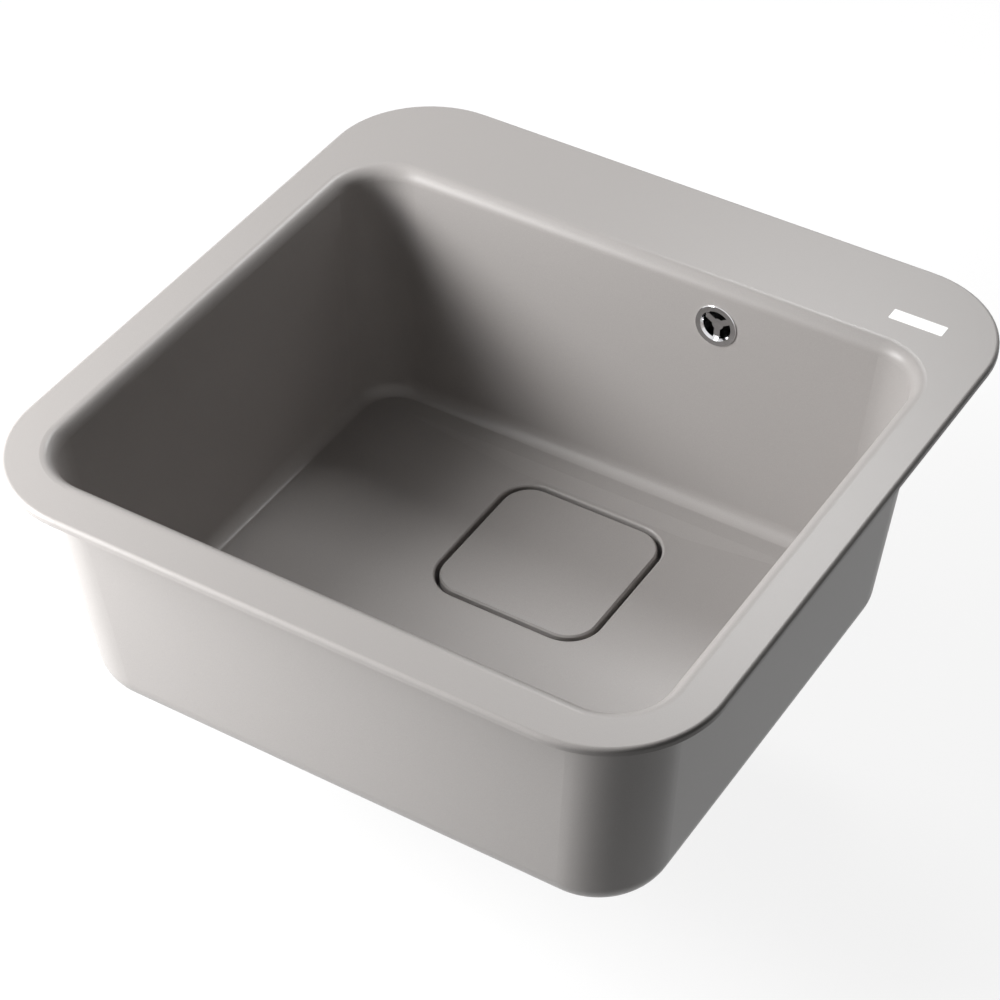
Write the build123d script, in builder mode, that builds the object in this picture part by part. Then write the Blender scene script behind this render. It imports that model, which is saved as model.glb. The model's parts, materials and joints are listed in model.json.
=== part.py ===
"""Square single-bowl kitchen sink cast in composite, with its cover, basket waste and overflow.

Millimetres. X runs along the front of the sink, Y runs from the front to the tap ledge at the
back, and Z is up. The origin is the middle of the rim's outline, in the plane where the rim's
underside rests on the worktop.
"""

import os
from math import atan2, cos, degrees, hypot, radians, sin, sqrt, tan

from build123d import *

# Rim that rests on the worktop
rim_width = 500.0
rim_length = 502.0
rim_thickness = 6.2
rim_front_radius = 77.5
rim_back_radius = 74.5
rim_top_round = 2.6
rim_bottom_chamfer = 1.0
rim_web_chamfer = 3.0

# Bowl: ledges from the rim's outline to its inner walls, in the plane of the rim's underside
side_ledge = 34.05
front_ledge = 37.05
back_ledge = 88.05
bowl_corner_radius = 37.0
bowl_depth = 184.0
bowl_draft = 4.05
bowl_mouth_round = 10.0
bowl_floor_round = 12.0
wall_top = 9.75
wall_draft = 5.1
wall_corner_radius = 50.0
wall_bottom_round = 24.0
floor_thickness = 7.0

# Fall of the floor, and the square recess that holds the drain and its cover
drain_x = 0.0
drain_setback = 112.95
floor_fall = 3.2
fall_margin = 1.0
recess_size = 127.2
recess_corner_radius = 25.0
recess_depth = 19.0
recess_edge_round = 2.0
recess_ledge = 2.0
recess_floor_thickness = 9.0
boss_wall = 10.0
boss_spread = 22.0
boss_edge_chamfer = 4.0

# Blind tap and accessory holes, broken through from below when they are wanted
knockout_radius = 17.5
knockout_web = 2.6
knockout_setback = 40.0
knockout_pitch = 110.0

# Drain cover on four rubber feet
cover_gap = 3.5
cover_thickness = 8.0
cover_edge_chamfer = 1.2
foot_radius = 5.0
foot_inset = 12.0
foot_stem_radius = 2.5
foot_stem_length = 4.0
fit_clearance = 0.1

# Pressed steel waste flange and its gasket
sheet = 1.2
flange_gap = 6.6
flange_land = 13.8
flange_gasket_thickness = 2.0
flange_gasket_margin = 2.0
cup_clearance = 1.8
cup_depth = 34.0
cup_throat = 4.0
dimple_radius = 13.2
dimple_depth = 9.0
cup_spokes = 6
cup_spoke_width = 8.0
cup_slot_inner = 18.0
cup_slot_margin = 11.0

# Moulded waste body clamped under the sink
body_gasket_thickness = 3.0
body_gasket_margin = 0.8
pot_wall = 3.0
pot_gap = 3.3
pot_flange_width = 11.5
pot_flange_thickness = 4.5
pot_depth = 50.0
pot_floor = 3.0
hub_radius = 9.5
hub_length = 18.0
hub_rib = 3.0
hub_ribs = 3
outlet_radius = 23.9
outlet_bore = 19.5
outlet_length = 33.0

# Clamp screw and its brass insert
screw_radius = 4.0
screw_head_radius = 9.0
screw_head_height = 4.0
screw_tail = 2.0
screw_slot_width = 2.0
screw_slot_depth = 1.5
screw_clearance = 0.25
insert_radius = 6.5
insert_flange_radius = 8.5
insert_flange_thickness = 2.0

# Strainer basket that lifts on its stem to open the drain
basket_sheet = 0.8
basket_clearance = 0.8
basket_height = 22.0
basket_rim = 2.4
basket_floor_slot_width = 2.6
basket_floor_slot_length = 9.0
basket_inner_slots = 10
basket_inner_slot_radius = 16.0
basket_outer_slots = 16
basket_outer_slot_margin = 9.0
basket_wall_slots = 16
basket_wall_slot_width = 2.6
basket_wall_slot_height = 11.0
seal_lap = 3.0
seal_thickness = 3.0
seal_hub_radius = 11.0
seal_hub_height = 8.0
stem_radius = 3.0
stem_shoulder_radius = 7.5
stem_shoulder_height = 3.0
stem_post_height = 16.0
stem_thread_length = 5.0
seal_nut_radius = 7.5
seal_nut_height = 3.0
pin_radius = 2.0
pin_length = 15.0
pin_running_clearance = 0.05
pin_end_clearance = 2.0
knob_radius = 13.0
knob_height = 10.0
knob_neck_radius = 7.0
knob_flare = 5.0

# Overflow in the back wall
overflow_x = 61.5
overflow_z = -26.0
overflow_hole_clearance = 1.0
rosette_radius = 15.4
rosette_height = 1.0
rosette_chamfer = 0.4
rosette_land = 4.0
rosette_dish_radius = 9.4
rosette_plate_drop = 3.2
rosette_plate = 1.2
rosette_skirt_radius = 12.0
rosette_skirt_wall = 1.3
rosette_skirt_overrun = 1.6
rosette_spokes = 3
rosette_spoke_width = 4.4
rosette_slot_inner = 4.2
rosette_slot_outer = 10.2
spot_face_depth = 0.5
spot_face_radius = 22.0
overflow_gasket_thickness = 2.0
elbow_radius = 19.0
elbow_length = 32.0
elbow_wall = 2.4
elbow_collar = 5.0
elbow_chamfer = 2.0
elbow_spout_setback = 18.5
skirt_thread_clearance = 0.2

# Overflow pipe and the joints at its two ends
pipe_radius = 10.0
pipe_wall = 1.8
pipe_bend_radius = 36.0
socket_clearance = 0.2
socket_depth = 14.0
spigot_radius = 13.0
spout_end_drop = 38.0
inlet_reach = 24.5
inlet_drop = 26.0
nut_radius = 17.5
nut_flats = 12
nut_thread_length = 12.0
nut_shoulder = 3.5
nut_clearance = 0.3
pipe_seal_thickness = 3.5

# Band within which a level face is picked by its height
level_band = 0.01

# Places and sizes across that follow from the sizes above
rim_back = rim_length / 2
bowl_width = rim_width - 2 * side_ledge
bowl_length = rim_length - front_ledge - back_ledge
bowl_centre_y = (front_ledge - back_ledge) / 2
drain_y = rim_back - back_ledge - drain_setback
knockout_y = rim_back - knockout_setback
flange_radius = recess_size / 2 - flange_gap
cup_radius = flange_radius - flange_land
cup_inner_radius = cup_radius - sheet
cup_slot_outer = cup_inner_radius - cup_slot_margin
drain_hole_radius = cup_radius + cup_clearance
pot_inner_radius = cup_radius + pot_gap
pot_outer_radius = pot_inner_radius + pot_wall
pot_flange_radius = pot_inner_radius + pot_flange_width
seal_radius = cup_slot_outer + seal_lap

# Heights that follow from the sizes above
rim_top = rim_thickness
floor_top = rim_top - bowl_depth
bowl_bottom = floor_top - floor_thickness
recess_top = floor_top - floor_fall
recess_floor = recess_top - recess_depth
boss_bottom = recess_floor - recess_floor_thickness
cover_bottom = recess_top - cover_thickness
flange_top = recess_floor + flange_gasket_thickness + sheet
cup_top = flange_top - cup_depth
dimple_top = cup_top - dimple_depth
pot_top = boss_bottom - body_gasket_thickness
pot_bottom = pot_top - pot_depth
hub_top = pot_bottom + hub_length
outlet_top = pot_bottom - pot_floor
outlet_bottom = outlet_top - outlet_length
basket_bottom = cup_top + seal_hub_height
basket_top = basket_bottom + basket_height
seal_nut_bottom = cup_top - seal_nut_height

drain_plane = Plane((drain_x, drain_y, 0), x_dir=(1, 0, 0), z_dir=(0, -1, 0))
drain_axis = Axis((drain_x, drain_y, 0), (0, 0, 1))


def drain_level(height):
    """A level plane with its origin on the drain's axis."""
    return Plane((drain_x, drain_y, height))


def bowl_section(height, draft_angle, wall=0.0, inset=0.0):
    """Centre x, centre y, width and length of the bowl's section at a height."""
    grown = 2 * (wall - inset + height * tan(radians(draft_angle)))
    return 0, bowl_centre_y, bowl_width + grown, bowl_length + grown


def drain_square(size):
    """Centre x, centre y, width and length of a square about the drain."""
    return drain_x, drain_y, size, size


def drafted_block(top, top_height, bottom, bottom_height):
    """Block with four flat sides between two level rectangles."""
    top_x, top_y, top_width, top_length = top
    bottom_x, bottom_y, bottom_width, bottom_length = bottom
    with BuildPart() as block:
        with BuildSketch(Plane.XZ):
            with BuildLine():
                Polyline(
                    (top_x - top_width / 2, top_height),
                    (top_x + top_width / 2, top_height),
                    (bottom_x + bottom_width / 2, bottom_height),
                    (bottom_x - bottom_width / 2, bottom_height),
                    close=True,
                )
            make_face()
        extrude(amount=rim_length, both=True)
        with BuildSketch(Plane.YZ):
            with BuildLine():
                Polyline(
                    (top_y - top_length / 2, top_height),
                    (top_y + top_length / 2, top_height),
                    (bottom_y + bottom_length / 2, bottom_height),
                    (bottom_y - bottom_length / 2, bottom_height),
                    close=True,
                )
            make_face()
        extrude(amount=rim_width, both=True, mode=Mode.INTERSECT)
    return block.part


# Inside of the bowl, taken out of the casting: drafted walls with rounded corners and floor edge
inner_mouth = bowl_section(rim_top, bowl_draft)
inner_floor = bowl_section(floor_top, bowl_draft)
inner_block = drafted_block(inner_mouth, rim_top, inner_floor, floor_top)
with BuildPart() as bowl_cavity:
    add(inner_block)
    fillet(bowl_cavity.edges().group_by(Axis.Z)[1], bowl_corner_radius)
    fillet(bowl_cavity.faces().sort_by(Axis.Z)[0].edges(), bowl_floor_round)

# Falls: four planes from the flat edge of the floor down to the ledge round the recess
floor_corner_radius = bowl_corner_radius - bowl_floor_round
fall_inset = bowl_floor_round + floor_corner_radius * (1 - sqrt(0.5)) + fall_margin
fall_block = drafted_block(
    bowl_section(floor_top, bowl_draft, inset=fall_inset),
    floor_top,
    drain_square(recess_size + 2 * (recess_edge_round + recess_ledge)),
    recess_top,
)

# Outside of the bowl below the rim, and the boss that takes the waste
outer_block = drafted_block(
    bowl_section(0, wall_draft, wall_top), 0, bowl_section(bowl_bottom, wall_draft, wall_top), bowl_bottom
)
with BuildPart() as bowl_outside:
    add(outer_block)
    fillet(bowl_outside.edges().group_by(Axis.Z)[1], wall_corner_radius)
    fillet(bowl_outside.faces().sort_by(Axis.Z)[0].edges(), wall_bottom_round)
boss_size = recess_size + 2 * boss_wall
boss_block = drafted_block(
    drain_square(boss_size + 2 * boss_spread), floor_top, drain_square(boss_size), boss_bottom
)
with BuildPart() as drain_boss:
    add(boss_block)
    fillet(drain_boss.edges().group_by(Axis.Z)[1], recess_corner_radius + boss_wall)
    chamfer(drain_boss.faces().sort_by(Axis.Z)[0].edges(), boss_edge_chamfer)

# Overflow planes: the axis is square to the drafted inner wall, so it tilts up into the bowl
overflow_section = bowl_section(overflow_z, bowl_draft)
overflow_outside = bowl_section(overflow_z, wall_draft, wall_top)
overflow_wall_y = bowl_centre_y + overflow_section[3] / 2
overflow_point = (overflow_x, overflow_wall_y, overflow_z)
draft = radians(bowl_draft)
into_bowl = Vector(0, -cos(draft), sin(draft))
overflow_face = Plane(overflow_point, x_dir=(1, 0, 0), z_dir=into_bowl)
overflow_side = Plane(overflow_point, x_dir=(1, 0, 0), z_dir=(0, -sin(draft), -cos(draft)))
overflow_axis = Axis(overflow_point, into_bowl)
wall_slope = tan(radians(wall_draft))
overflow_wall = (overflow_outside[3] - overflow_section[3]) / 2 / (cos(draft) + sin(draft) * wall_slope)
overflow_seat = overflow_wall - spot_face_depth
overflow_hole_radius = rosette_skirt_radius + overflow_hole_clearance

# Casting of rim, bowl and boss in one piece
with BuildPart() as bowl:
    with BuildSketch() as rim_outline:
        Rectangle(rim_width, rim_length)
        fillet(rim_outline.vertices().group_by(Axis.Y)[0], rim_front_radius)
        fillet(rim_outline.vertices().group_by(Axis.Y)[-1], rim_back_radius)
    extrude(amount=rim_thickness)
    fillet(bowl.edges().group_by(Axis.Z)[-1], rim_top_round)
    chamfer(bowl.edges().group_by(Axis.Z)[0], rim_bottom_chamfer)
    add(bowl_outside.part)
    underside = bowl.faces().filter_by(Plane.XY).filter_by_position(Axis.Z, -level_band, level_band)[0]
    chamfer(underside.inner_wires()[0].edges(), rim_web_chamfer)
    add(drain_boss.part)
    add(bowl_cavity.part, mode=Mode.SUBTRACT)
    rim_face = bowl.faces().sort_by(Axis.Z)[-1]
    fillet(rim_face.inner_wires()[0].edges(), bowl_mouth_round)
    add(fall_block, mode=Mode.SUBTRACT)
    with BuildSketch(drain_level(recess_top)):
        RectangleRounded(recess_size, recess_size, recess_corner_radius)
    extrude(amount=-recess_depth, mode=Mode.SUBTRACT)
    level_faces = bowl.faces().filter_by(Plane.XY)
    ledge = level_faces.filter_by_position(Axis.Z, recess_top - level_band, recess_top + level_band)[0]
    fillet(ledge.inner_wires()[0].edges(), recess_edge_round)
    with BuildSketch(drain_level(recess_floor)):
        Circle(drain_hole_radius)
    extrude(amount=-recess_floor_thickness, mode=Mode.SUBTRACT)
    with BuildSketch(overflow_face):
        Circle(overflow_hole_radius)
    extrude(amount=-2 * overflow_wall, mode=Mode.SUBTRACT)
    with BuildSketch(overflow_face.offset(-overflow_seat)):
        Circle(spot_face_radius)
    extrude(amount=-overflow_wall, mode=Mode.SUBTRACT)
    with BuildSketch():
        with Locations((0, knockout_y), (knockout_pitch, knockout_y)):
            Circle(knockout_radius)
    extrude(amount=rim_thickness - knockout_web, mode=Mode.SUBTRACT)
bowl.part.label = "bowl"

# Cover that lies flush with the floor and hides the drain
cover_size = recess_size - 2 * cover_gap
foot_pitch = cover_size - 2 * foot_inset
with BuildPart() as drain_cover:
    with BuildSketch(drain_level(cover_bottom)):
        RectangleRounded(cover_size, cover_size, recess_corner_radius - cover_gap)
    extrude(amount=cover_thickness)
    chamfer(drain_cover.faces().sort_by(Axis.Z)[-1].edges(), cover_edge_chamfer)
    with BuildSketch(drain_level(cover_bottom)):
        with GridLocations(foot_pitch, foot_pitch, 2, 2):
            Circle(foot_stem_radius + fit_clearance)
    extrude(amount=foot_stem_length + fit_clearance, mode=Mode.SUBTRACT)
drain_cover.part.label = "drain_cover"

# Four rubber feet, stems pressed up into the cover
with BuildPart() as cover_feet:
    with BuildSketch(drain_level(recess_floor)):
        with GridLocations(foot_pitch, foot_pitch, 2, 2):
            Circle(foot_radius)
    extrude(amount=cover_bottom - recess_floor)
    with BuildSketch(drain_level(cover_bottom)):
        with GridLocations(foot_pitch, foot_pitch, 2, 2):
            Circle(foot_stem_radius)
    extrude(amount=foot_stem_length)
cover_feet.part.label = "cover_feet"


def spoked_ring(inner_radius, outer_radius, spokes, spoke_width, first_angle):
    """Ring cut by straight spokes into curved slots."""
    with BuildSketch() as ring:
        Circle(outer_radius)
        Circle(inner_radius, mode=Mode.SUBTRACT)
        with PolarLocations(0, spokes, start_angle=first_angle):
            Rectangle(2 * outer_radius, spoke_width, align=(Align.MIN, Align.CENTER), mode=Mode.SUBTRACT)
    return ring.sketch


# Pressed flange, cup and dimple: one line down the inside, thickened outwards
dimple_inner_radius = dimple_radius - sheet
cup_line = (
    (flange_radius, flange_top),
    (cup_inner_radius + cup_throat, flange_top),
    (cup_inner_radius, flange_top - cup_throat),
    (cup_inner_radius, cup_top),
    (dimple_inner_radius, cup_top),
    (dimple_inner_radius, dimple_top),
    (screw_radius + screw_clearance, dimple_top),
)
cup_slots = spoked_ring(cup_slot_inner, cup_slot_outer, cup_spokes, cup_spoke_width, 0)
with BuildPart() as waste_flange:
    with BuildSketch(drain_plane):
        with BuildLine():
            Polyline(*cup_line)
            offset(amount=sheet, side=Side.LEFT, kind=Kind.INTERSECTION)
        make_face()
    revolve(axis=drain_axis)
    with BuildSketch(drain_level(cup_top)):
        add(cup_slots)
    extrude(amount=-sheet, mode=Mode.SUBTRACT)
waste_flange.part.label = "waste_flange"


def flat_ring(plane, inner_radius, outer_radius, thickness):
    """Flat gasket between two radii, standing on a plane."""
    with BuildPart() as ring:
        with BuildSketch(plane):
            Circle(outer_radius)
            Circle(inner_radius, mode=Mode.SUBTRACT)
        extrude(amount=thickness)
    return ring.part


# Gaskets above and below the floor of the recess
flange_gasket = flat_ring(
    drain_level(recess_floor),
    cup_inner_radius + cup_throat + flange_gasket_margin,
    flange_radius - flange_gasket_margin,
    flange_gasket_thickness,
)
flange_gasket.label = "flange_gasket"
body_gasket = flat_ring(
    drain_level(pot_top),
    pot_inner_radius + body_gasket_margin,
    pot_flange_radius - body_gasket_margin,
    body_gasket_thickness,
)
body_gasket.label = "body_gasket"

# Route of the overflow pipe: down behind the bowl and in to the waste body, in one upright plane
spout_y = overflow_wall_y + (overflow_seat + elbow_spout_setback) * cos(draft)
spout_end = overflow_z - spout_end_drop
pipe_reach = hypot(overflow_x - drain_x, spout_y - drain_y)
pipe_heading = Vector((overflow_x - drain_x) / pipe_reach, (spout_y - drain_y) / pipe_reach, 0)
pipe_plane = Plane((drain_x, drain_y, 0), x_dir=pipe_heading, z_dir=pipe_heading.cross(Vector(0, 0, 1)))
inlet_z = pot_top - inlet_drop
inlet_end = pot_outer_radius + inlet_reach
spout_plane = Plane((overflow_x, spout_y, spout_end))
inlet_plane = Plane(pipe_plane.from_local_coords(Vector(inlet_end, inlet_z, 0)), z_dir=-pipe_heading)
socket_radius = pipe_radius + socket_clearance
pipe_bore = pipe_radius - pipe_wall

# Waste body: clamping flange, pot and overflow inlet
pot_profile = (
    (pot_inner_radius, pot_top),
    (pot_flange_radius, pot_top),
    (pot_flange_radius, pot_top - pot_flange_thickness),
    (pot_outer_radius, pot_top - pot_flange_thickness),
    (pot_outer_radius, pot_bottom),
    (pot_inner_radius, pot_bottom),
)
first_rib_angle = degrees(atan2(pipe_heading.Y, pipe_heading.X)) + 180 / hub_ribs
with BuildPart() as waste_body:
    with BuildSketch(drain_plane):
        with BuildLine():
            Polyline(*pot_profile, close=True)
        make_face()
    revolve(axis=drain_axis)
    with BuildSketch(inlet_plane):
        Circle(spigot_radius)
    extrude(amount=inlet_reach + pot_wall / 2)
    with BuildSketch(inlet_plane):
        Circle(pipe_bore)
    extrude(amount=inlet_reach + 2 * pot_wall, mode=Mode.SUBTRACT)
    with BuildSketch(inlet_plane):
        Circle(socket_radius)
    extrude(amount=socket_depth, mode=Mode.SUBTRACT)
waste_body.part.label = "waste_body"

# Floor of the waste body, and the spigot below it that takes the trap
with BuildPart() as outlet_spigot:
    with BuildSketch(drain_level(pot_bottom)):
        Circle(pot_outer_radius)
    extrude(amount=-pot_floor)
    with BuildSketch(drain_level(outlet_top)):
        Circle(outlet_radius)
    extrude(amount=-outlet_length)
    with BuildSketch(drain_level(pot_bottom)):
        Circle(outlet_bore)
    extrude(amount=outlet_bottom - pot_bottom, mode=Mode.SUBTRACT)
outlet_spigot.part.label = "outlet_spigot"

# Hub that takes the clamp screw's thrust, on ribs that stand on the floor of the waste body
with BuildPart() as waste_hub:
    with BuildSketch(drain_level(pot_bottom)):
        Circle(hub_radius)
        with PolarLocations(0, hub_ribs, start_angle=first_rib_angle):
            Rectangle(pot_inner_radius - fit_clearance, hub_rib, align=(Align.MIN, Align.CENTER))
        Circle(insert_radius + fit_clearance, mode=Mode.SUBTRACT)
    extrude(amount=hub_length)
waste_hub.part.label = "waste_hub"

# Brass insert pulled up into the hub by the clamp screw
with BuildPart() as clamp_insert:
    with BuildSketch(drain_level(pot_bottom)):
        Circle(insert_flange_radius)
    extrude(amount=-insert_flange_thickness)
    with BuildSketch(drain_level(pot_bottom)):
        Circle(insert_radius)
    extrude(amount=hub_length)
    with BuildSketch(drain_level(hub_top)):
        Circle(screw_radius + fit_clearance)
    extrude(amount=-hub_length - insert_flange_thickness, mode=Mode.SUBTRACT)
clamp_insert.part.label = "clamp_insert"

# Clamp screw, bored down its middle for the basket's pin
screw_head_top = dimple_top + screw_head_height
screw_end = pot_bottom - insert_flange_thickness - screw_tail
pin_end = seal_nut_bottom - pin_length
with BuildPart() as clamp_screw:
    with BuildSketch(drain_level(dimple_top)):
        Circle(screw_head_radius)
    extrude(amount=screw_head_height)
    with BuildSketch(drain_level(dimple_top)):
        Circle(screw_radius)
    extrude(amount=screw_end - dimple_top)
    with BuildSketch(drain_level(screw_head_top)):
        Rectangle(2 * screw_head_radius, screw_slot_width)
    extrude(amount=-screw_slot_depth, mode=Mode.SUBTRACT)
    with BuildSketch(drain_level(screw_head_top)):
        Circle(pin_radius + pin_running_clearance)
    extrude(amount=pin_end - pin_end_clearance - screw_head_top, mode=Mode.SUBTRACT)
clamp_screw.part.label = "clamp_screw"

# Strainer basket: a sheet cup with a turned-out rim, slotted in its floor and round its wall
basket_outer_radius = cup_inner_radius - basket_clearance
basket_wall_radius = basket_outer_radius - basket_rim
basket_outer_slot_radius = basket_wall_radius - basket_outer_slot_margin
basket_line = (
    (stem_radius + fit_clearance, basket_bottom),
    (basket_wall_radius, basket_bottom),
    (basket_wall_radius, basket_top - basket_sheet),
    (basket_outer_radius, basket_top - basket_sheet),
)
wall_slot_middle = Vector(drain_x, drain_y, basket_bottom + basket_height / 2)
wall_slot_planes = [
    Plane(wall_slot_middle, x_dir=(0, 0, 1), z_dir=Vector(1, 0, 0).rotate(Axis.Z, 360 * slot / basket_wall_slots))
    for slot in range(basket_wall_slots)
]
with BuildPart() as basket:
    with BuildSketch(drain_plane):
        with BuildLine():
            Polyline(*basket_line)
            offset(amount=basket_sheet, side=Side.LEFT, kind=Kind.INTERSECTION)
        make_face()
    revolve(axis=drain_axis)
    with BuildSketch(drain_level(basket_bottom)):
        with PolarLocations(basket_inner_slot_radius, basket_inner_slots):
            Rectangle(basket_floor_slot_length, basket_floor_slot_width)
        with PolarLocations(basket_outer_slot_radius, basket_outer_slots):
            Rectangle(basket_floor_slot_length, basket_floor_slot_width)
    extrude(amount=basket_sheet, mode=Mode.SUBTRACT)
    with BuildSketch(*wall_slot_planes):
        Rectangle(basket_wall_slot_height, basket_wall_slot_width)
    extrude(amount=basket_outer_radius, mode=Mode.SUBTRACT)
basket.part.label = "basket"

# Rubber seal: its disc covers the drain slots and its hub carries the basket above it
seal_profile = (
    (stem_radius + fit_clearance, cup_top),
    (seal_radius, cup_top),
    (seal_radius, cup_top + seal_thickness),
    (seal_hub_radius, cup_top + seal_thickness),
    (seal_hub_radius, basket_bottom),
    (stem_radius + fit_clearance, basket_bottom),
)
with BuildPart() as basket_seal:
    with BuildSketch(drain_plane):
        with BuildLine():
            Polyline(*seal_profile, close=True)
        make_face()
    revolve(axis=drain_axis)
basket_seal.part.label = "basket_seal"

# Stem: shoulder on the basket's floor, post up to the knob, thread for the nut, and guide pin
shoulder_bottom = basket_bottom + basket_sheet
post_top = shoulder_bottom + stem_post_height
with BuildPart() as basket_stem:
    with BuildSketch(drain_level(shoulder_bottom)):
        Circle(stem_shoulder_radius)
    extrude(amount=stem_shoulder_height)
    with BuildSketch(drain_level(seal_nut_bottom)):
        Circle(stem_radius)
    extrude(amount=post_top - seal_nut_bottom)
    with BuildSketch(drain_level(seal_nut_bottom)):
        Circle(pin_radius)
    extrude(amount=-pin_length)
basket_stem.part.label = "basket_stem"

# Nut that clamps the seal and the basket against the stem's shoulder
with BuildPart() as seal_nut:
    with BuildSketch(drain_level(seal_nut_bottom)):
        RegularPolygon(seal_nut_radius, 6)
        Circle(stem_radius + fit_clearance, mode=Mode.SUBTRACT)
    extrude(amount=seal_nut_height)
seal_nut.part.label = "seal_nut"

# Knob that lifts and drops the basket
knob_bottom = post_top - stem_thread_length
knob_top = knob_bottom + knob_height
knob_profile = (
    (0, knob_bottom),
    (knob_neck_radius, knob_bottom),
    (knob_radius, knob_bottom + knob_flare),
    (knob_radius, knob_top),
    (0, knob_top),
)
with BuildPart() as basket_knob:
    with BuildSketch(drain_plane):
        with BuildLine():
            Polyline(*knob_profile, close=True)
        make_face()
    revolve(axis=drain_axis)
    with BuildSketch(drain_level(knob_bottom)):
        Circle(stem_radius + fit_clearance)
    extrude(amount=stem_thread_length, mode=Mode.SUBTRACT)
basket_knob.part.label = "basket_knob"

# Overflow rosette: ring, dish, slotted plate, and a skirt screwed into the elbow
plate_front = rosette_height - rosette_plate_drop
plate_back = plate_front - rosette_plate
skirt_end = -overflow_seat - overflow_gasket_thickness - elbow_collar - rosette_skirt_overrun
rosette_profile = (
    (0, plate_front),
    (rosette_dish_radius, plate_front),
    (rosette_radius - rosette_land, rosette_height),
    (rosette_radius - rosette_chamfer, rosette_height),
    (rosette_radius, rosette_height - rosette_chamfer),
    (rosette_radius, 0),
    (rosette_skirt_radius, 0),
    (rosette_skirt_radius, skirt_end),
    (rosette_skirt_radius - rosette_skirt_wall, skirt_end),
    (rosette_skirt_radius - rosette_skirt_wall, plate_back),
    (0, plate_back),
)
rosette_slots = spoked_ring(
    rosette_slot_inner, rosette_slot_outer, rosette_spokes, rosette_spoke_width, 90 - 180 / rosette_spokes
)
with BuildPart() as overflow_rosette:
    with BuildSketch(overflow_side):
        with BuildLine():
            Polyline(*rosette_profile, close=True)
        make_face()
    revolve(axis=overflow_axis)
    with BuildSketch(overflow_face.offset(rosette_height)):
        add(rosette_slots)
    extrude(amount=plate_back - rosette_height, mode=Mode.SUBTRACT)
overflow_rosette.part.label = "overflow_rosette"

# Rubber gasket between the spot face on the wall and the elbow
elbow_front = overflow_face.offset(-overflow_seat - overflow_gasket_thickness)
overflow_gasket = flat_ring(elbow_front, overflow_hole_radius, elbow_radius, overflow_gasket_thickness)
overflow_gasket.label = "overflow_gasket"

# Overflow elbow: barrel behind the wall, threaded collar for the rosette, and spout pointing down
with BuildPart() as overflow_elbow:
    with BuildSketch(elbow_front):
        Circle(elbow_radius)
    extrude(amount=-elbow_length)
    chamfer(overflow_elbow.faces().sort_by(Axis.Y)[-1].edges(), elbow_chamfer)
    with BuildSketch(spout_plane):
        Circle(spigot_radius)
    extrude(amount=spout_end_drop)
    with BuildSketch(elbow_front.offset(-elbow_collar)):
        Circle(elbow_radius - elbow_wall)
    extrude(amount=elbow_wall + elbow_collar - elbow_length, mode=Mode.SUBTRACT)
    with BuildSketch(elbow_front):
        Circle(rosette_skirt_radius + skirt_thread_clearance)
    extrude(amount=-elbow_collar, mode=Mode.SUBTRACT)
    with BuildSketch(spout_plane):
        Circle(pipe_bore)
    extrude(amount=spout_end_drop, mode=Mode.SUBTRACT)
    with BuildSketch(spout_plane):
        Circle(socket_radius)
    extrude(amount=socket_depth, mode=Mode.SUBTRACT)
overflow_elbow.part.label = "overflow_elbow"

# Rigid overflow pipe with one bend, its ends on the floors of the two sockets
pipe_top = spout_end + socket_depth
with BuildPart() as overflow_pipe:
    with BuildLine(pipe_plane):
        FilletPolyline(
            (pipe_reach, pipe_top),
            (pipe_reach, inlet_z),
            (inlet_end - socket_depth, inlet_z),
            radius=pipe_bend_radius,
        )
    with BuildSketch(Plane((overflow_x, spout_y, pipe_top), z_dir=(0, 0, -1))):
        Circle(pipe_radius)
        Circle(pipe_bore, mode=Mode.SUBTRACT)
    sweep()
overflow_pipe.part.label = "overflow_pipe"

# Grip nut over each threaded spigot, and the seal that it squeezes round the pipe
pipe_ends = (spout_plane, inlet_plane)
nut_planes = [plane.offset(nut_thread_length) for plane in pipe_ends]
with BuildPart() as pipe_nuts:
    with BuildSketch(*nut_planes):
        RegularPolygon(nut_radius, nut_flats)
    extrude(amount=-nut_thread_length - pipe_seal_thickness - nut_shoulder)
    with BuildSketch(*nut_planes):
        Circle(spigot_radius + nut_clearance)
    extrude(amount=-nut_thread_length - pipe_seal_thickness, mode=Mode.SUBTRACT)
    with BuildSketch(*pipe_ends):
        Circle(pipe_radius + nut_clearance)
    extrude(amount=-pipe_seal_thickness - nut_shoulder, mode=Mode.SUBTRACT)
pipe_nuts.part.label = "pipe_nuts"
with BuildPart() as pipe_seals:
    with BuildSketch(*pipe_ends):
        Circle(spigot_radius)
        Circle(pipe_radius + fit_clearance, mode=Mode.SUBTRACT)
    extrude(amount=-pipe_seal_thickness)
pipe_seals.part.label = "pipe_seals"

pieces = (
    bowl.part,
    drain_cover.part,
    cover_feet.part,
    waste_flange.part,
    flange_gasket,
    body_gasket,
    waste_body.part,
    outlet_spigot.part,
    waste_hub.part,
    clamp_insert.part,
    clamp_screw.part,
    basket.part,
    basket_seal.part,
    basket_stem.part,
    seal_nut.part,
    basket_knob.part,
    overflow_rosette.part,
    overflow_gasket,
    overflow_elbow.part,
    overflow_pipe.part,
    pipe_nuts.part,
    pipe_seals.part,
)
os.makedirs("parts", exist_ok=True)
for piece in pieces:
    export_step(piece, f"parts/{piece.label}.step")
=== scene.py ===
"""Kitchen sink: materials, finer visual pieces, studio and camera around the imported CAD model."""

import json
import math

import bmesh
import bpy
from mathutils import Matrix, Vector


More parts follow.
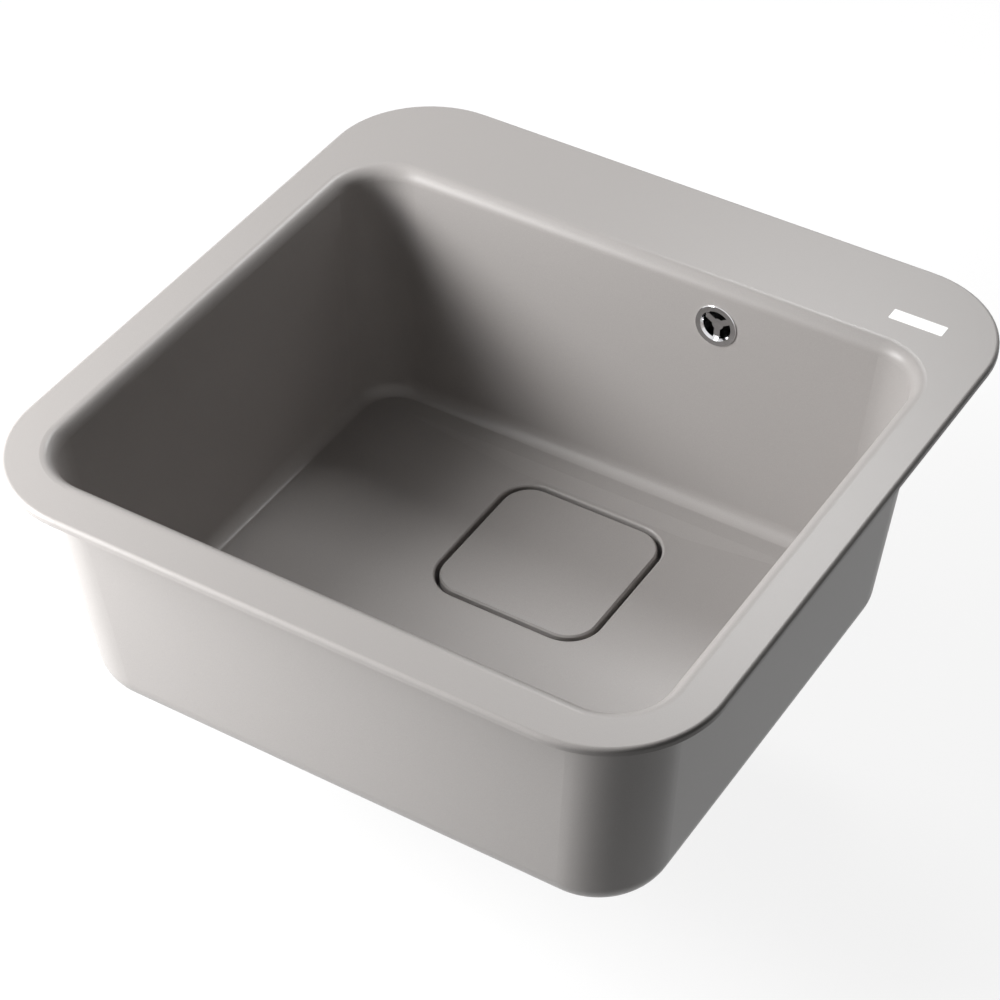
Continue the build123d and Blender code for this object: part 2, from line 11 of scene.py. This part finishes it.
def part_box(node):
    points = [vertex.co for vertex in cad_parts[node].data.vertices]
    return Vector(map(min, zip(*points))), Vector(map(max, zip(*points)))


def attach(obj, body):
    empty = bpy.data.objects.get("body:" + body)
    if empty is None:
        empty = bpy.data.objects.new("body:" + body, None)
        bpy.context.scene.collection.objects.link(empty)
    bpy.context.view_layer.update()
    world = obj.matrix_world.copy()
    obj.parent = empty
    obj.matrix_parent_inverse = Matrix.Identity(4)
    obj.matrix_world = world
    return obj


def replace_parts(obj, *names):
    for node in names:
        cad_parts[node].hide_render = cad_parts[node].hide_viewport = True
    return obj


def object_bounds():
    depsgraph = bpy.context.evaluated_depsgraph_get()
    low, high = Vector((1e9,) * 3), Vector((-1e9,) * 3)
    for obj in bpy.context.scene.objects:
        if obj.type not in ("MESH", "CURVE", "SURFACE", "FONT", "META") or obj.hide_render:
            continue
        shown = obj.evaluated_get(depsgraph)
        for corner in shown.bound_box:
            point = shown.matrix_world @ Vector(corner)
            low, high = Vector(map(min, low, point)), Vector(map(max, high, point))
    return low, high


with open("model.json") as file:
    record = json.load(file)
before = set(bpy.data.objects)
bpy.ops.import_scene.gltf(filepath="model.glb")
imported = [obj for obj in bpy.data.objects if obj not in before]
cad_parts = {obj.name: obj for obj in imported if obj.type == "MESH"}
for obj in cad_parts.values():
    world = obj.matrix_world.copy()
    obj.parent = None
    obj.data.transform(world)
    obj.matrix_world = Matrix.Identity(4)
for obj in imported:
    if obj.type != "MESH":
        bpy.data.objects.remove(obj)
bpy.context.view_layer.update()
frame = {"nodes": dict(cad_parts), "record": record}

nodes = frame["nodes"]
scene = bpy.context.scene

# Lengths are in metres and angles in degrees, unless a name or a comment says otherwise

# Camera, fitted to the outlines of the rim, mouth, floor, drain cover and rosette
CAMERA_AZIMUTH = 31.95
CAMERA_ELEVATION = 41.611
CAMERA_ROLL = -0.255
CAMERA_DISTANCE = 2.0145
CAMERA_TARGET = (-0.003434, -0.007283, -0.0838)
CAMERA_LENS_MM = 111.3
CAMERA_SENSOR_MM = 36
CAMERA_CLIP = (0.05, 50)

# The bowl's falls: how upright their normals are, and the height that all of them lie below
FALL_NORMAL_Z = (0.95, 0.985)
FALLS_BELOW = -0.168

# Blank sticker on the back ledge
STICKER_LOW = (0.171, 0.191)
STICKER_HIGH = (0.2095, 0.2015)
STICKER_THICKNESS = 0.0001
STICKER_CORNER = 0.0008

# Edges sharper than this stay sharp on the finer pieces
SHARP_EDGE = 38

# Floor
FLOOR_REACH = 12
FLOOR_GAP = 0.0002
FLOOR_BOUNCE = 0.3
FLOOR_LIT = 0.15
FLOOR_GLOW = 0.86

# Soft lights: name, azimuth, elevation, distance, size and power in watts
LIGHT_TARGET = (0, 0, -0.08)
LIGHTS = (
    ("key", 315, 28, 1.6, 0.45, 13.4),
    ("key_left", 300, 28, 1.6, 0.45, 12.6),
    ("key_high", 300, 42, 1.6, 0.45, 11.4),
    ("front", 330, 28, 1.6, 0.45, 1.6),
    ("left_low", 318, 8, 0.85, 0.5, 5.5),
    ("left_high", 270, 65, 1.6, 0.6, 1.9),
    ("back", 195, 48, 1.6, 0.4, 8.8),
    ("back_low", 180, 30, 1.6, 0.9, 3.7),
)


# Camera at the photograph's viewing angle

def make_camera():
    azimuth, elevation, roll = (
        math.radians(angle) for angle in (CAMERA_AZIMUTH, CAMERA_ELEVATION, CAMERA_ROLL)
    )
    target = Vector(CAMERA_TARGET)
    forward = Vector((
        -math.sin(azimuth) * math.cos(elevation),
        math.cos(azimuth) * math.cos(elevation),
        -math.sin(elevation),
    ))
    right = Vector((math.cos(azimuth), math.sin(azimuth), 0))
    up = right.cross(forward)
    right_rolled = right * math.cos(roll) + up * math.sin(roll)
    up_rolled = up * math.cos(roll) - right * math.sin(roll)
    data = bpy.data.cameras.new("camera")
    data.sensor_width = CAMERA_SENSOR_MM
    data.lens = CAMERA_LENS_MM
    data.clip_start, data.clip_end = CAMERA_CLIP
    camera = bpy.data.objects.new("camera", data)
    scene.collection.objects.link(camera)
    turn = Matrix((right_rolled, up_rolled, -forward)).transposed()
    place = Matrix.Translation(target - forward * CAMERA_DISTANCE)
    camera.matrix_world = place @ turn.to_4x4()
    scene.camera = camera


# Node helpers

def new_material(name):
    material = bpy.data.materials.new(name)
    material.use_nodes = True
    tree = material.node_tree
    shader = tree.nodes["Principled BSDF"]
    return material, tree, shader


def noise(tree, scale, detail=3.0, roughness=0.5, stretch=(1, 1, 1)):
    """Noise in the object's own coordinates, in features per metre."""
    coords = tree.nodes.new("ShaderNodeTexCoord")
    mapping = tree.nodes.new("ShaderNodeMapping")
    mapping.inputs["Scale"].default_value = stretch
    tree.links.new(coords.outputs["Object"], mapping.inputs["Vector"])
    texture = tree.nodes.new("ShaderNodeTexNoise")
    texture.inputs["Scale"].default_value = scale
    texture.inputs["Detail"].default_value = detail
    texture.inputs["Roughness"].default_value = roughness
    tree.links.new(mapping.outputs["Vector"], texture.inputs["Vector"])
    return texture.outputs["Fac"]


def set_colour(tree, shader, factor, stops):
    """Base colour from a ramp over (position, colour) stops."""
    node = tree.nodes.new("ShaderNodeValToRGB")
    elements = node.color_ramp.elements
    while len(elements) < len(stops):
        elements.new(0.5)
    for element, (position, colour) in zip(elements, stops):
        element.position = position
        element.color = (*colour, 1)
    tree.links.new(factor, node.inputs["Fac"])
    tree.links.new(node.outputs["Color"], shader.inputs["Base Color"])


def set_roughness(tree, shader, factor, low, high):
    """Roughness from low to high as a factor goes from 0 to 1."""
    node = tree.nodes.new("ShaderNodeMapRange")
    node.inputs["To Min"].default_value = low
    node.inputs["To Max"].default_value = high
    tree.links.new(factor, node.inputs["Value"])
    tree.links.new(node.outputs["Result"], shader.inputs["Roughness"])


def set_bump(tree, shader, height, strength, distance, normal=None):
    node = tree.nodes.new("ShaderNodeBump")
    if normal:
        tree.links.new(normal, node.inputs["Normal"])
    node.inputs["Strength"].default_value = strength
    node.inputs["Distance"].default_value = distance
    tree.links.new(height, node.inputs["Height"])
    tree.links.new(node.outputs["Normal"], shader.inputs["Normal"])


def smooth_range(tree, value, low, high):
    """Rises smoothly from 0 to 1 as a value goes from low to high."""
    node = tree.nodes.new("ShaderNodeMapRange")
    node.interpolation_type = "SMOOTHSTEP"
    node.inputs["From Min"].default_value = low
    node.inputs["From Max"].default_value = high
    tree.links.new(value, node.inputs["Value"])
    return node.outputs["Result"]


def maths(tree, operation, first, second):
    """Maths node. The first value is a socket, and the second a socket or a number."""
    node = tree.nodes.new("ShaderNodeMath")
    node.operation = operation
    tree.links.new(first, node.inputs[0])
    if isinstance(second, bpy.types.NodeSocket):
        tree.links.new(second, node.inputs[1])
    else:
        node.inputs[1].default_value = second
    return node.outputs[0]


def height_of(tree, vector):
    node = tree.nodes.new("ShaderNodeSeparateXYZ")
    tree.links.new(vector, node.inputs[0])
    return node.outputs["Z"]


def eased_floor_normal(tree):
    """Surface normal that levels the bowl's slight falls, so their ridges don't show as creases."""
    geometry = tree.nodes.new("ShaderNodeNewGeometry")
    upright = smooth_range(tree, height_of(tree, geometry.outputs["Normal"]), *FALL_NORMAL_Z)
    low_enough = maths(
        tree, "LESS_THAN", height_of(tree, geometry.outputs["Position"]), FALLS_BELOW
    )
    mix = tree.nodes.new("ShaderNodeMix")
    mix.data_type = "VECTOR"
    ends = {socket.identifier: socket for socket in mix.inputs}
    tree.links.new(maths(tree, "MULTIPLY", upright, low_enough), ends["Factor_Float"])
    tree.links.new(geometry.outputs["Normal"], ends["A_Vector"])
    ends["B_Vector"].default_value = (0, 0, 1)
    results = {socket.identifier: socket for socket in mix.outputs}
    return results["Result_Vector"]


# Materials

def composite_material():
    """Matt stone composite: fine pale and dark grains in a warm grey binder."""
    material, tree, shader = new_material("composite")
    grains = noise(tree, 2600, detail=2.0, roughness=0.6)
    set_colour(tree, shader, grains, (
        (0.25, (0.325, 0.309, 0.300)),
        (0.5, (0.356, 0.338, 0.328)),
        (0.75, (0.387, 0.367, 0.356)),
    ))
    set_roughness(tree, shader, noise(tree, 900, detail=2.0), low=0.28, high=0.36)
    shader.inputs["Specular IOR Level"].default_value = 0.25
    set_bump(
        tree, shader, grains, strength=0.2, distance=0.00003, normal=eased_floor_normal(tree)
    )
    return material


def steel_material():
    """Pressed stainless steel with fine turned marks."""
    material, tree, shader = new_material("stainless")
    shader.inputs["Metallic"].default_value = 1.0
    marks = noise(tree, 60, detail=4.0, roughness=0.6, stretch=(1, 1, 40))
    set_colour(tree, shader, marks, ((0.3, (0.55, 0.55, 0.54)), (0.7, (0.68, 0.68, 0.67))))
    set_roughness(tree, shader, marks, low=0.22, high=0.36)
    set_bump(tree, shader, marks, strength=0.08, distance=0.00005)
    return material


def chrome_material():
    """Bright chrome with faint smudges."""
    material, tree, shader = new_material("chrome")
    shader.inputs["Metallic"].default_value = 1.0
    smudges = noise(tree, 180)
    set_colour(tree, shader, smudges, ((0.3, (0.70, 0.70, 0.71)), (0.7, (0.80, 0.80, 0.81))))
    set_roughness(tree, shader, smudges, low=0.07, high=0.14)
    return material


def brass_material():
    """Turned brass."""
    material, tree, shader = new_material("brass")
    shader.inputs["Metallic"].default_value = 1.0
    marks = noise(tree, 90, stretch=(1, 1, 30))
    set_colour(tree, shader, marks, ((0.3, (0.60, 0.43, 0.17)), (0.7, (0.74, 0.56, 0.27))))
    set_roughness(tree, shader, marks, low=0.24, high=0.38)
    return material


def plastic_material():
    """Dark moulded polypropylene with a faint spark-eroded grain."""
    material, tree, shader = new_material("dark_plastic")
    cloud = noise(tree, 35, detail=2.0)
    set_colour(tree, shader, cloud, ((0.3, (0.085, 0.085, 0.09)), (0.7, (0.115, 0.115, 0.12))))
    grain = noise(tree, 1800, detail=2.0)
    set_roughness(tree, shader, grain, low=0.38, high=0.5)
    set_bump(tree, shader, grain, strength=0.15, distance=0.00004)
    return material


def rubber_material():
    """Black rubber with a dull skin."""
    material, tree, shader = new_material("rubber")
    grain = noise(tree, 1500)
    set_colour(tree, shader, grain, (
        (0.3, (0.018, 0.018, 0.019)),
        (0.7, (0.035, 0.035, 0.036)),
    ))
    set_roughness(tree, shader, grain, low=0.62, high=0.8)
    set_bump(tree, shader, grain, strength=0.3, distance=0.00005)
    return material


def paper_material():
    """Blank white sticker, lightly glossed."""
    material, tree, shader = new_material("sticker")
    fibres = noise(tree, 1200, roughness=0.6, stretch=(1, 3, 1))
    set_colour(tree, shader, fibres, ((0.3, (0.88, 0.88, 0.87)), (0.7, (0.93, 0.93, 0.92))))
    set_roughness(tree, shader, fibres, low=0.3, high=0.42)
    return material


def dress_nodes():
    """Gives every CAD node the material of its slot."""
    for part in frame["record"]["subparts"]:
        node, slot = nodes[part["node"]], part["material_slot"]
        node.data.materials.clear()
        node.data.materials.append(finishes[slot])


# Mesh helpers

def circle_point(form, centre_x, centre_y, radius, angle, height):
    return form.verts.new((
        centre_x + radius * math.cos(angle), centre_y + radius * math.sin(angle), height,
    ))


def close_rows(form, rows, wrap_rows):
    """Faces between closed rings of points. The last ring joins the first where asked."""
    pairs = list(zip(rows, rows[1:]))
    if wrap_rows:
        pairs.append((rows[-1], rows[0]))
    for lower, upper in pairs:
        for index in range(len(lower)):
            after = (index + 1) % len(lower)
            form.faces.new((lower[index], lower[after], upper[after], upper[index]))


def to_piece(name, form, material, body):
    """Makes an object of a bmesh form, riding on a body."""
    bmesh.ops.recalc_face_normals(form, faces=form.faces)
    mesh = bpy.data.meshes.new(name)
    form.to_mesh(mesh)
    form.free()
    mesh.materials.append(material)
    piece = bpy.data.objects.new(name, mesh)
    scene.collection.objects.link(piece)
    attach(piece, body)
    return piece


def moulded_piece(name, form):
    """Smooth piece of dark plastic that stays with the sink."""
    piece = to_piece(name, form, finishes["dark_plastic"], "sink")
    for polygon in piece.data.polygons:
        polygon.use_smooth = True
    piece.data.set_sharp_from_angle(angle=math.radians(SHARP_EDGE))
    return piece


# Blank sticker on the back ledge

def make_sticker():
    """Thin flat plate with rounded corners."""
    (low_x, low_y), (high_x, high_y), radius = STICKER_LOW, STICKER_HIGH, STICKER_CORNER
    height, corner_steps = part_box("bowl")[1].z, 6
    form = bmesh.new()
    ring = []
    for corner_x, corner_y, start in (
        (high_x - radius, high_y - radius, 0),
        (low_x + radius, high_y - radius, 90),
        (low_x + radius, low_y + radius, 180),
        (high_x - radius, low_y + radius, 270),
    ):
        for step in range(corner_steps + 1):
            angle = math.radians(start + 90 / corner_steps * step)
            ring.append(circle_point(form, corner_x, corner_y, radius, angle, height))
    raised = bmesh.ops.extrude_face_region(form, geom=[form.faces.new(ring)])
    upper = [vert for vert in raised["geom"] if isinstance(vert, bmesh.types.BMVert)]
    bmesh.ops.translate(form, verts=upper, vec=(0, 0, STICKER_THICKNESS))
    to_piece("sticker", form, paper_material(), "sink")


# Finer pieces below the bowl: the spigot's thread and the grips on the pipe nuts

def thread_radius(crest, depth, turn, turns, share):
    """Thread's radius after so many turns, at a share of the circle. It fades in and out."""
    steepness, flat_share, run_out_turns = 1.5, 0.25, 1.5
    ridge = abs(2 * ((turn - share) % 1) - 1)
    wave = min(max(ridge * steepness - flat_share, 0), 1)
    started = min(turn, 1)
    ended = min(max((turns - turn - share) / run_out_turns, 0), 1)
    return crest - depth * (1 - (1 - wave) * started) * ended


def threaded_spigot():
    """Floor of the waste body and its outlet, with the trap's 1.5 inch thread on the spigot."""
    low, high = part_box("outlet_spigot")
    centre_x, centre_y = (low.x + high.x) / 2, (low.y + high.y) / 2
    disc_radius, disc_thickness = (high.x - low.x) / 2, 0.003
    crest, bore, neck = 0.0239, 0.0195, high.z - disc_thickness
    pitch, depth = 0.002309, 0.0011
    lead_in, plain_neck = 0.001, 0.009
    steps_round, steps_per_pitch = 96, 6
    thread_low, thread_high = low.z + lead_in, neck - plain_neck
    last_step = int((thread_high - thread_low) / pitch * steps_per_pitch)
    turns = last_step / steps_per_pitch
    shares = [step / steps_round for step in range(steps_round)]

    profile = [(low.z, [crest - depth] * steps_round)]
    for step in range(last_step + 1):
        turn = step / steps_per_pitch
        radii = [thread_radius(crest, depth, turn, turns, share) for share in shares]
        profile.append((thread_low + turn * pitch, radii))
    for radius, height in (
        (crest, neck), (disc_radius, neck), (disc_radius, high.z), (bore, high.z), (bore, low.z),
    ):
        profile.append((height, [radius] * steps_round))

    form = bmesh.new()
    rows = [
        [
            circle_point(form, centre_x, centre_y, radius, 2 * math.pi * share, height)
            for radius, share in zip(radii, shares)
        ]
        for height, radii in profile
    ]
    close_rows(form, rows, True)
    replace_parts(moulded_piece("spigot_with_thread", form), "outlet_spigot")


def nut_grips():
    """A low rounded rib along the middle of each flat of both pipe nuts."""
    upright = Vector((0, 0, 1))
    # The pipe runs level to the waste body's axis, and leaves it in this direction
    inward = Vector((0.40637, 0.91368, 0))
    inlet, inlet_reach = Vector((0, 0.05, -0.238)), 0.062
    nuts = (
        # Foot of the nut, its axis, and the direction of one of its corners
        (Vector((0.0615, 0.188276, -0.071)), upright, Vector((1, 0, 0))),
        (inlet + inlet_reach * inward, inward, Vector((-inward.y, inward.x, 0))),
    )
    flats, corner_reach, nut_length = 12, 0.0175, 0.019
    flat_reach = corner_reach * math.cos(math.radians(180 / flats))
    half_width, height, sunk = 0.0011, 0.00052, 0.0003
    inset, taper, end_size, arc_steps = 0.0008, 0.0009, 0.15, 6
    sections = (
        (inset, end_size),
        (inset + taper, 1),
        (nut_length - inset - taper, 1),
        (nut_length - inset, end_size),
    )
    form = bmesh.new()
    for origin, axis, across in nuts:
        beside = axis.cross(across)
        for flat in range(flats):
            angle = 2 * math.pi * (flat + 0.5) / flats
            outward = across * math.cos(angle) + beside * math.sin(angle)
            sideways = axis.cross(outward)
            rows = []
            for along, size in sections:
                # Across and out from the middle of the flat: an arc, and a foot sunk in the nut
                outline = [
                    (half_width * math.cos(turn), height * size * math.sin(turn))
                    for turn in (math.pi * step / arc_steps for step in range(arc_steps + 1))
                ]
                outline += [(-half_width, -sunk), (half_width, -sunk)]
                middle = origin + axis * along
                rows.append([
                    form.verts.new(middle + sideways * side + outward * (flat_reach + out))
                    for side, out in outline
                ])
            close_rows(form, rows, False)
            form.faces.new(rows[0])
            form.faces.new(rows[-1])
    moulded_piece("nut_grips", form)


# Floor, backdrop and lights

def seen_as_background(tree):
    """1 for camera, glossy and transmission rays, which see the white background, or else 0."""
    paths = tree.nodes.new("ShaderNodeLightPath")
    seen = paths.outputs["Is Camera Ray"]
    for kind in ("Is Glossy Ray", "Is Transmission Ray"):
        seen = maths(tree, "MAXIMUM", seen, paths.outputs[kind])
    return seen


def mix_by_ray(tree, hidden, seen, surface):
    """One shader for the rays that see the background, and another for the rest."""
    mix = tree.nodes.new("ShaderNodeMixShader")
    tree.links.new(seen_as_background(tree), mix.inputs["Fac"])
    tree.links.new(hidden.outputs[0], mix.inputs[1])
    tree.links.new(seen.outputs[0], mix.inputs[2])
    tree.links.new(mix.outputs[0], surface)


def plain_shader(tree, kind, level):
    node = tree.nodes.new(kind)
    node.inputs["Color"].default_value = (level, level, level, 1)
    return node


def floor_material():
    """Near-white floor that keeps the soft shadow, and bounces some light back up."""
    material = bpy.data.materials.new("studio_floor")
    material.use_nodes = True
    tree = material.node_tree
    tree.nodes.clear()
    output = tree.nodes.new("ShaderNodeOutputMaterial")
    bounce = plain_shader(tree, "ShaderNodeBsdfDiffuse", FLOOR_BOUNCE)
    lit = plain_shader(tree, "ShaderNodeBsdfDiffuse", FLOOR_LIT)
    glow = plain_shader(tree, "ShaderNodeEmission", FLOOR_GLOW)
    shown = tree.nodes.new("ShaderNodeAddShader")
    tree.links.new(lit.outputs[0], shown.inputs[0])
    tree.links.new(glow.outputs[0], shown.inputs[1])
    mix_by_ray(tree, bounce, shown, output.inputs["Surface"])
    return material


def make_floor():
    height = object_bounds()[0].z - FLOOR_GAP
    corners = ((-1, -1), (1, -1), (1, 1), (-1, 1))
    mesh = bpy.data.meshes.new("floor")
    mesh.from_pydata(
        [(x * FLOOR_REACH, y * FLOOR_REACH, height) for x, y in corners], [], [(0, 1, 2, 3)]
    )
    mesh.materials.append(floor_material())
    floor = bpy.data.objects.new("floor", mesh)
    scene.collection.objects.link(floor)


def make_world():
    """White where it is seen or mirrored, and dark as a light."""
    world = bpy.data.worlds.new("studio")
    world.use_nodes = True
    tree = world.node_tree
    tree.nodes.remove(tree.nodes["Background"])
    dark = plain_shader(tree, "ShaderNodeBackground", 0)
    white = plain_shader(tree, "ShaderNodeBackground", 1)
    mix_by_ray(tree, dark, white, tree.nodes["World Output"].inputs["Surface"])
    scene.world = world


def softbox(name, azimuth, elevation, distance, size, power):
    """Square soft light aimed at the bowl. Azimuth 0 is in front of it, and 90 is on its right."""
    turn, rise = math.radians(azimuth), math.radians(elevation)
    away = Vector((
        math.sin(turn) * math.cos(rise), -math.cos(turn) * math.cos(rise), math.sin(rise),
    ))
    data = bpy.data.lights.new(name, "AREA")
    data.shape = "SQUARE"
    data.size = size
    data.energy = power
    lamp = bpy.data.objects.new(name, data)
    lamp.location = Vector(LIGHT_TARGET) + away * distance
    lamp.rotation_mode = "QUATERNION"
    lamp.rotation_quaternion = (-away).to_track_quat("-Z", "Y")
    scene.collection.objects.link(lamp)


make_camera()
finishes = {
    "composite": composite_material(),
    "stainless": steel_material(),
    "chrome": chrome_material(),
    "brass": brass_material(),
    "dark_plastic": plastic_material(),
    "rubber": rubber_material(),
}
dress_nodes()
make_sticker()
threaded_spigot()
nut_grips()
make_floor()
make_world()
for light in LIGHTS:
    softbox(*light)
scene.view_settings.view_transform = "Standard"
